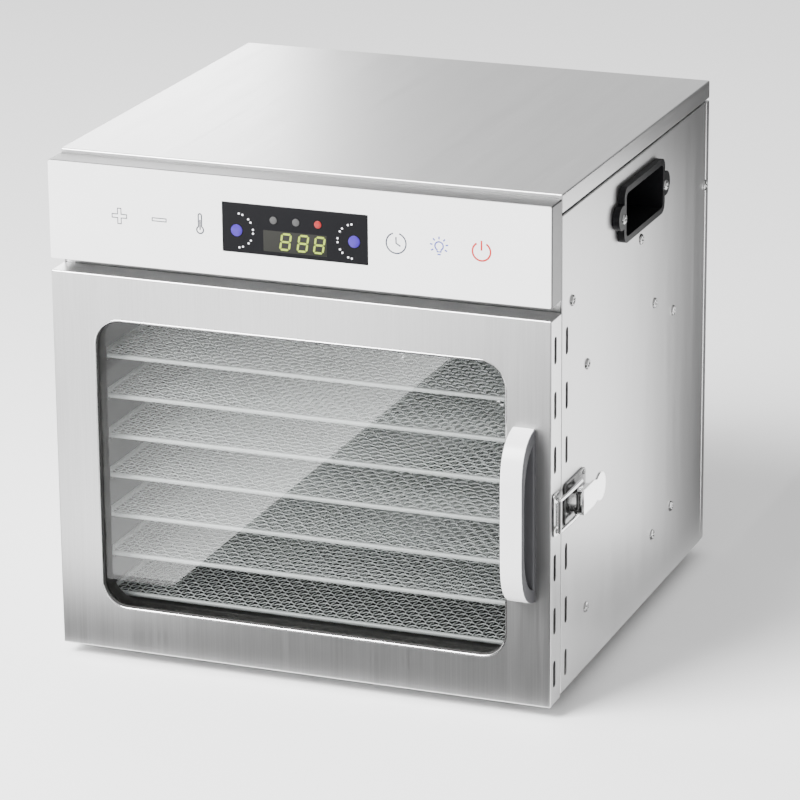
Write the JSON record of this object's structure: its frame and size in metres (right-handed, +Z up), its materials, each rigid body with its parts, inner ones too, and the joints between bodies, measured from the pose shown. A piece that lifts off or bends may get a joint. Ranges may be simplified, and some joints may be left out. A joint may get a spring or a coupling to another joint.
{
  "type": "food dehydrator",
  "caption": "Box-shaped countertop food dehydrator: steel case, wire trays on racks, glazed hinged door with bow handle and draw latch, touch panel, rear fan and heater.",
  "frame": {"origin": "on the surface it stands on, under the middle of the whole object's box", "axes": "+Z up, the door faces -Y, +X to the right of someone facing the door"},
  "size_m": [0.3258, 0.3245, 0.31],
  "materials": {
    "brushed_steel": "vertical brushed grain, satin",
    "case_steel": "fine satin",
    "inner_steel": "plain satin, darker inside",
    "plated_steel": "bright plated",
    "tray_wire": "polished stainless wire",
    "white_plastic": "smooth semi-gloss",
    "black_plastic": "fine moulded texture",
    "panel_film": "printed film, semi-gloss",
    "display_black": "smoked window, glossy",
    "door_glass": "clear tempered",
    "rubber": "matt",
    "circuit_board": "solder resist",
    "heater_sheath": "heat-tinted steel tube",
    "grey_plastic": "fine moulded texture",
    "lead_sleeve": "woven heat-proof sleeve",
    "lamp_cover": "frosted"
  },
  "bodies": {
    "cabinet": {"top_cover": "brushed_steel", "right_side_panel": "case_steel", "left_side_panel": "case_steel", "back_panel": "case_steel", "bottom_panel": "case_steel", "deck_plate": "inner_steel", "front_frame": "inner_steel", "right_tray_rack": "inner_steel", "left_tray_rack": "inner_steel", "fan_baffle": "inner_steel", "fan_motor": "grey_plastic", "motor_bracket": "case_steel", "heating_element": "heater_sheath", "heater_clip_right": "case_steel", "heater_clip_left": "case_steel", "thermal_cutout": "black_plastic", "temperature_probe": "plated_steel", "fan_guard": "plated_steel", "power_inlet": "black_plastic", "power_board": "circuit_board", "lamp_lens": "lamp_cover", "mains_lead": "lead_sleeve", "motor_lead": "lead_sleeve", "heater_lead": "lead_sleeve", "display_lead": "lead_sleeve", "control_housing": "brushed_steel", "control_film": "panel_film", "display_window": "display_black", "control_board": "circuit_board", "right_carry_handle": "black_plastic", "left_carry_handle": "black_plastic", "front_left_foot": "rubber", "front_right_foot": "rubber", "rear_left_foot": "rubber", "rear_right_foot": "rubber", "upper_hinge_case_leaf": "case_steel", "upper_hinge_pin": "plated_steel", "lower_hinge_case_leaf": "case_steel", "lower_hinge_pin": "plated_steel", "latch_base": "plated_steel", "latch_pin": "plated_steel"},
    "door": {"door_skin": "brushed_steel", "door_inner_panel": "inner_steel", "door_glass": "door_glass", "glass_seal": "rubber", "door_handle": "white_plastic", "latch_catch": "plated_steel", "upper_hinge_door_leaf": "case_steel", "lower_hinge_door_leaf": "case_steel"},
    "latch_lever": {"latch_lever": "plated_steel"},
    "latch_bail": {"latch_bail": "plated_steel"},
    "fan": {"fan_blade": "grey_plastic", "fan_shaft": "plated_steel"},
    "tray_1": {"tray_1": "tray_wire"},
    "tray_2": {"tray_2": "tray_wire"},
    "tray_3": {"tray_3": "tray_wire"},
    "tray_4": {"tray_4": "tray_wire"},
    "tray_5": {"tray_5": "tray_wire"},
    "tray_6": {"tray_6": "tray_wire"},
    "tray_7": {"tray_7": "tray_wire"}
  },
  "joints": [
    {"name": "door_hinge", "type": "hinge", "parent": "cabinet", "child": "door", "pos_m": [-0.1583, -0.12205, 0.124], "axis": [0, 0, -1], "range_deg": [0, 170]},
    {"name": "latch_lever_pivot", "type": "hinge", "parent": "cabinet", "child": "latch_lever", "pos_m": [0.1602, -0.10675, 0.124], "axis": [0, 0, -1], "range_deg": [0, 95]},
    {"name": "latch_bail_pivot", "type": "hinge", "parent": "latch_lever", "child": "latch_bail", "pos_m": [0.1592, -0.09875, 0.124], "axis": [0, 0, -1], "range_deg": [-95, 0]},
    {"name": "fan_spin", "type": "hinge", "parent": "cabinet", "child": "fan", "pos_m": [0, 0.11785, 0.125], "axis": [0, 1, 0], "continuous": true},
    {"name": "tray_1_slide", "type": "slide", "parent": "cabinet", "child": "tray_1", "axis": [0, -1, 0], "range_m": [0, 0.0055]},
    {"name": "tray_2_slide", "type": "slide", "parent": "cabinet", "child": "tray_2", "axis": [0, -1, 0], "range_m": [0, 0.0055]},
    {"name": "tray_3_slide", "type": "slide", "parent": "cabinet", "child": "tray_3", "axis": [0, -1, 0], "range_m": [0, 0.0055]},
    {"name": "tray_4_slide", "type": "slide", "parent": "cabinet", "child": "tray_4", "axis": [0, -1, 0], "range_m": [0, 0.0055]},
    {"name": "tray_5_slide", "type": "slide", "parent": "cabinet", "child": "tray_5", "axis": [0, -1, 0], "range_m": [0, 0.0055]},
    {"name": "tray_6_slide", "type": "slide", "parent": "cabinet", "child": "tray_6", "axis": [0, -1, 0], "range_m": [0, 0.0055]},
    {"name": "tray_7_slide", "type": "slide", "parent": "cabinet", "child": "tray_7", "axis": [0, -1, 0], "range_m": [0, 0.0055]}
  ],
  "couplings": [
    {"joint": "latch_bail_pivot", "follows": "latch_lever_pivot", "ratio": -1}
  ]
}
